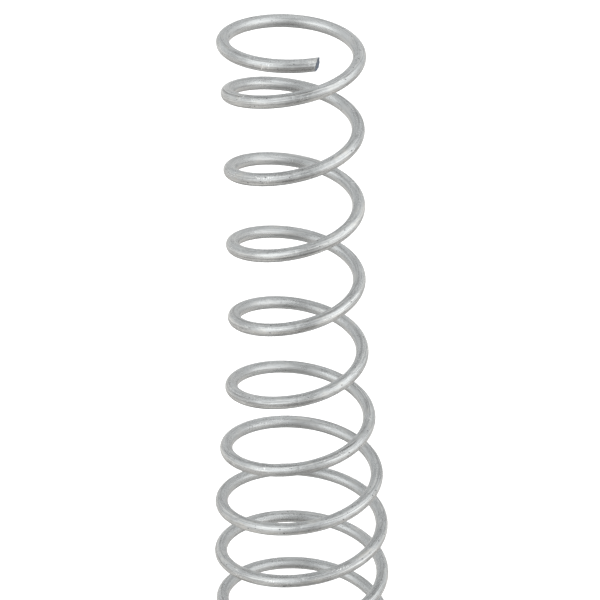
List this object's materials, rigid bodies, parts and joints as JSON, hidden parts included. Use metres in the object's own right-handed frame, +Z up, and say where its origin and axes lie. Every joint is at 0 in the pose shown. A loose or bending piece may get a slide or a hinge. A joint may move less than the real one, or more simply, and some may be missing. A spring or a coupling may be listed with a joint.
{
  "type": "spring coil toy",
  "caption": "Free-standing galvanised steel coil spring, waisted above and wider below, that stretches, squashes and leans.",
  "frame": {"origin": "centre of the coil, level with the ground underside of its base coil", "axes": "+Z up along the coil's axis, -Y towards the front, where the wire's free end stands on top"},
  "size_m": [0.0458, 0.0458, 0.1954],
  "materials": {
    "galvanised_wire": "galvanised, satin, with fine draw lines along the wire"
  },
  "bodies": {
    "base": {"base_end_coil": "galvanised_wire"},
    "turn_11_upper": {"turn_11_upper_half": "galvanised_wire"},
    "turn_10_lower": {"turn_10_lower_half": "galvanised_wire"},
    "turn_10_upper": {"turn_10_upper_half": "galvanised_wire"},
    "turn_09_lower": {"turn_09_lower_half": "galvanised_wire"},
    "turn_09_upper": {"turn_09_upper_half": "galvanised_wire"},
    "turn_08_lower": {"turn_08_lower_half": "galvanised_wire"},
    "turn_08_upper": {"turn_08_upper_half": "galvanised_wire"},
    "turn_07_lower": {"turn_07_lower_half": "galvanised_wire"},
    "turn_07_upper": {"turn_07_upper_half": "galvanised_wire"},
    "turn_06_lower": {"turn_06_lower_half": "galvanised_wire"},
    "turn_06_upper": {"turn_06_upper_half": "galvanised_wire"},
    "turn_05_lower": {"turn_05_lower_half": "galvanised_wire"},
    "turn_05_upper": {"turn_05_upper_half": "galvanised_wire"},
    "turn_04_lower": {"turn_04_lower_half": "galvanised_wire"},
    "turn_04_upper": {"turn_04_upper_half": "galvanised_wire"},
    "turn_03_lower": {"turn_03_lower_half": "galvanised_wire"},
    "turn_03_upper": {"turn_03_upper_half": "galvanised_wire"},
    "turn_02_lower": {"turn_02_lower_half": "galvanised_wire"},
    "turn_02_upper": {"turn_02_upper_half": "galvanised_wire"},
    "turn_01_lower": {"turn_01_lower_half": "galvanised_wire"},
    "turn_01_upper": {"turn_01_upper_half": "galvanised_wire"}
  },
  "joints": [
    {"name": "stretch_11", "type": "slide", "parent": "base", "child": "turn_11_upper", "axis": [0, 0, 1], "range_m": [-0.0078, 0.0039], "stiffness_N_per_m": 1000, "springref_m": 0.00069},
    {"name": "lean_back_10", "type": "hinge", "parent": "turn_11_upper", "child": "turn_10_lower", "pos_m": [0, -0.02129, 0.02365], "axis": [1, 0, 0], "range_deg": [-5, 5], "stiffness_Nm_per_rad": 0.5, "springref_deg": 1.59},
    {"name": "stretch_10", "type": "slide", "parent": "turn_10_lower", "child": "turn_10_upper", "axis": [0, 0, 1], "range_m": [-0.0078, 0.0039], "stiffness_N_per_m": 1000, "springref_m": 0.00062},
    {"name": "lean_side_09", "type": "hinge", "parent": "turn_10_upper", "child": "turn_09_lower", "pos_m": [0, -0.02129, 0.0387], "axis": [0, 1, 0], "range_deg": [-5, 5], "stiffness_Nm_per_rad": 0.5, "springref_deg": -0.01},
    {"name": "stretch_09", "type": "slide", "parent": "turn_09_lower", "child": "turn_09_upper", "axis": [0, 0, 1], "range_m": [-0.0078, 0.0039], "stiffness_N_per_m": 1000, "springref_m": 0.00054},
    {"name": "lean_back_08", "type": "hinge", "parent": "turn_09_upper", "child": "turn_08_lower", "pos_m": [0, -0.02127, 0.05375], "axis": [1, 0, 0], "range_deg": [-5, 5], "stiffness_Nm_per_rad": 0.5, "springref_deg": 1.21},
    {"name": "stretch_08", "type": "slide", "parent": "turn_08_lower", "child": "turn_08_upper", "axis": [0, 0, 1], "range_m": [-0.0078, 0.0039], "stiffness_N_per_m": 1000, "springref_m": 0.00047},
    {"name": "lean_side_07", "type": "hinge", "parent": "turn_08_upper", "child": "turn_07_lower", "pos_m": [0, -0.02032, 0.06893], "axis": [0, 1, 0], "range_deg": [-5, 5], "stiffness_Nm_per_rad": 0.5, "springref_deg": -0.01},
    {"name": "stretch_07", "type": "slide", "parent": "turn_07_lower", "child": "turn_07_upper", "axis": [0, 0, 1], "range_m": [-0.01092, 0.00546], "stiffness_N_per_m": 1000, "springref_m": 0.00039},
    {"name": "lean_back_06", "type": "hinge", "parent": "turn_07_upper", "child": "turn_06_lower", "pos_m": [0, -0.01852, 0.08547], "axis": [1, 0, 0], "range_deg": [-5, 5], "stiffness_Nm_per_rad": 0.5, "springref_deg": 0.75},
    {"name": "stretch_06", "type": "slide", "parent": "turn_06_lower", "child": "turn_06_upper", "axis": [0, 0, 1], "range_m": [-0.01092, 0.00546], "stiffness_N_per_m": 1000, "springref_m": 0.00032},
    {"name": "lean_side_05", "type": "hinge", "parent": "turn_06_upper", "child": "turn_05_lower", "pos_m": [0, -0.01673, 0.10418], "axis": [0, 1, 0], "range_deg": [-5, 5], "stiffness_Nm_per_rad": 0.5, "springref_deg": 0},
    {"name": "stretch_05", "type": "slide", "parent": "turn_05_lower", "child": "turn_05_upper", "axis": [0, 0, 1], "range_m": [-0.01404, 0.00702], "stiffness_N_per_m": 1000, "springref_m": 0.00026},
    {"name": "lean_back_04", "type": "hinge", "parent": "turn_05_upper", "child": "turn_04_lower", "pos_m": [0, -0.01577, 0.12438], "axis": [1, 0, 0], "range_deg": [-5, 5], "stiffness_Nm_per_rad": 0.5, "springref_deg": 0.42},
    {"name": "stretch_04", "type": "slide", "parent": "turn_04_lower", "child": "turn_04_upper", "axis": [0, 0, 1], "range_m": [-0.01404, 0.00702], "stiffness_N_per_m": 1000, "springref_m": 0.00021},
    {"name": "lean_side_03", "type": "hinge", "parent": "turn_04_upper", "child": "turn_03_lower", "pos_m": [0, -0.01575, 0.14478], "axis": [0, 1, 0], "range_deg": [-5, 5], "stiffness_Nm_per_rad": 0.5, "springref_deg": 0},
    {"name": "stretch_03", "type": "slide", "parent": "turn_03_lower", "child": "turn_03_upper", "axis": [0, 0, 1], "range_m": [-0.01404, 0.00702], "stiffness_N_per_m": 1000, "springref_m": 0.00015},
    {"name": "lean_back_02", "type": "hinge", "parent": "turn_03_upper", "child": "turn_02_lower", "pos_m": [0, -0.01575, 0.16518], "axis": [1, 0, 0], "range_deg": [-5, 5], "stiffness_Nm_per_rad": 0.5, "springref_deg": 0.21},
    {"name": "stretch_02", "type": "slide", "parent": "turn_02_lower", "child": "turn_02_upper", "axis": [0, 0, 1], "range_m": [-0.01287, 0.00643], "stiffness_N_per_m": 1000, "springref_m": 0.00009},
    {"name": "lean_side_01", "type": "hinge", "parent": "turn_02_upper", "child": "turn_01_lower", "pos_m": [0, -0.01597, 0.18524], "axis": [0, 1, 0], "range_deg": [-5, 5], "stiffness_Nm_per_rad": 0.25, "springref_deg": 0},
    {"name": "stretch_01", "type": "slide", "parent": "turn_01_lower", "child": "turn_01_upper", "axis": [0, 0, 1], "range_m": [-0.0039, 0.00195], "stiffness_N_per_m": 400, "springref_m": 0.00008}
  ],
  "couplings": [
    {"joint": "stretch_10", "follows": "stretch_11", "ratio": 1},
    {"joint": "stretch_09", "follows": "stretch_11", "ratio": 1},
    {"joint": "lean_back_08", "follows": "lean_back_10", "ratio": 1},
    {"joint": "stretch_08", "follows": "stretch_11", "ratio": 1},
    {"joint": "lean_side_07", "follows": "lean_side_09", "ratio": 1},
    {"joint": "stretch_07", "follows": "stretch_11", "ratio": 1.4},
    {"joint": "lean_back_06", "follows": "lean_back_10", "ratio": 1},
    {"joint": "stretch_06", "follows": "stretch_11", "ratio": 1.4},
    {"joint": "lean_side_05", "follows": "lean_side_09", "ratio": 1},
    {"joint": "stretch_05", "follows": "stretch_11", "ratio": 1.8},
    {"joint": "lean_back_04", "follows": "lean_back_10", "ratio": 1},
    {"joint": "stretch_04", "follows": "stretch_11", "ratio": 1.8},
    {"joint": "lean_side_03", "follows": "lean_side_09", "ratio": 1},
    {"joint": "stretch_03", "follows": "stretch_11", "ratio": 1.8},
    {"joint": "lean_back_02", "follows": "lean_back_10", "ratio": 1},
    {"joint": "stretch_02", "follows": "stretch_11", "ratio": 1.65},
    {"joint": "lean_side_01", "follows": "lean_side_09", "ratio": 1},
    {"joint": "stretch_01", "follows": "stretch_11", "ratio": 0.5}
  ]
}
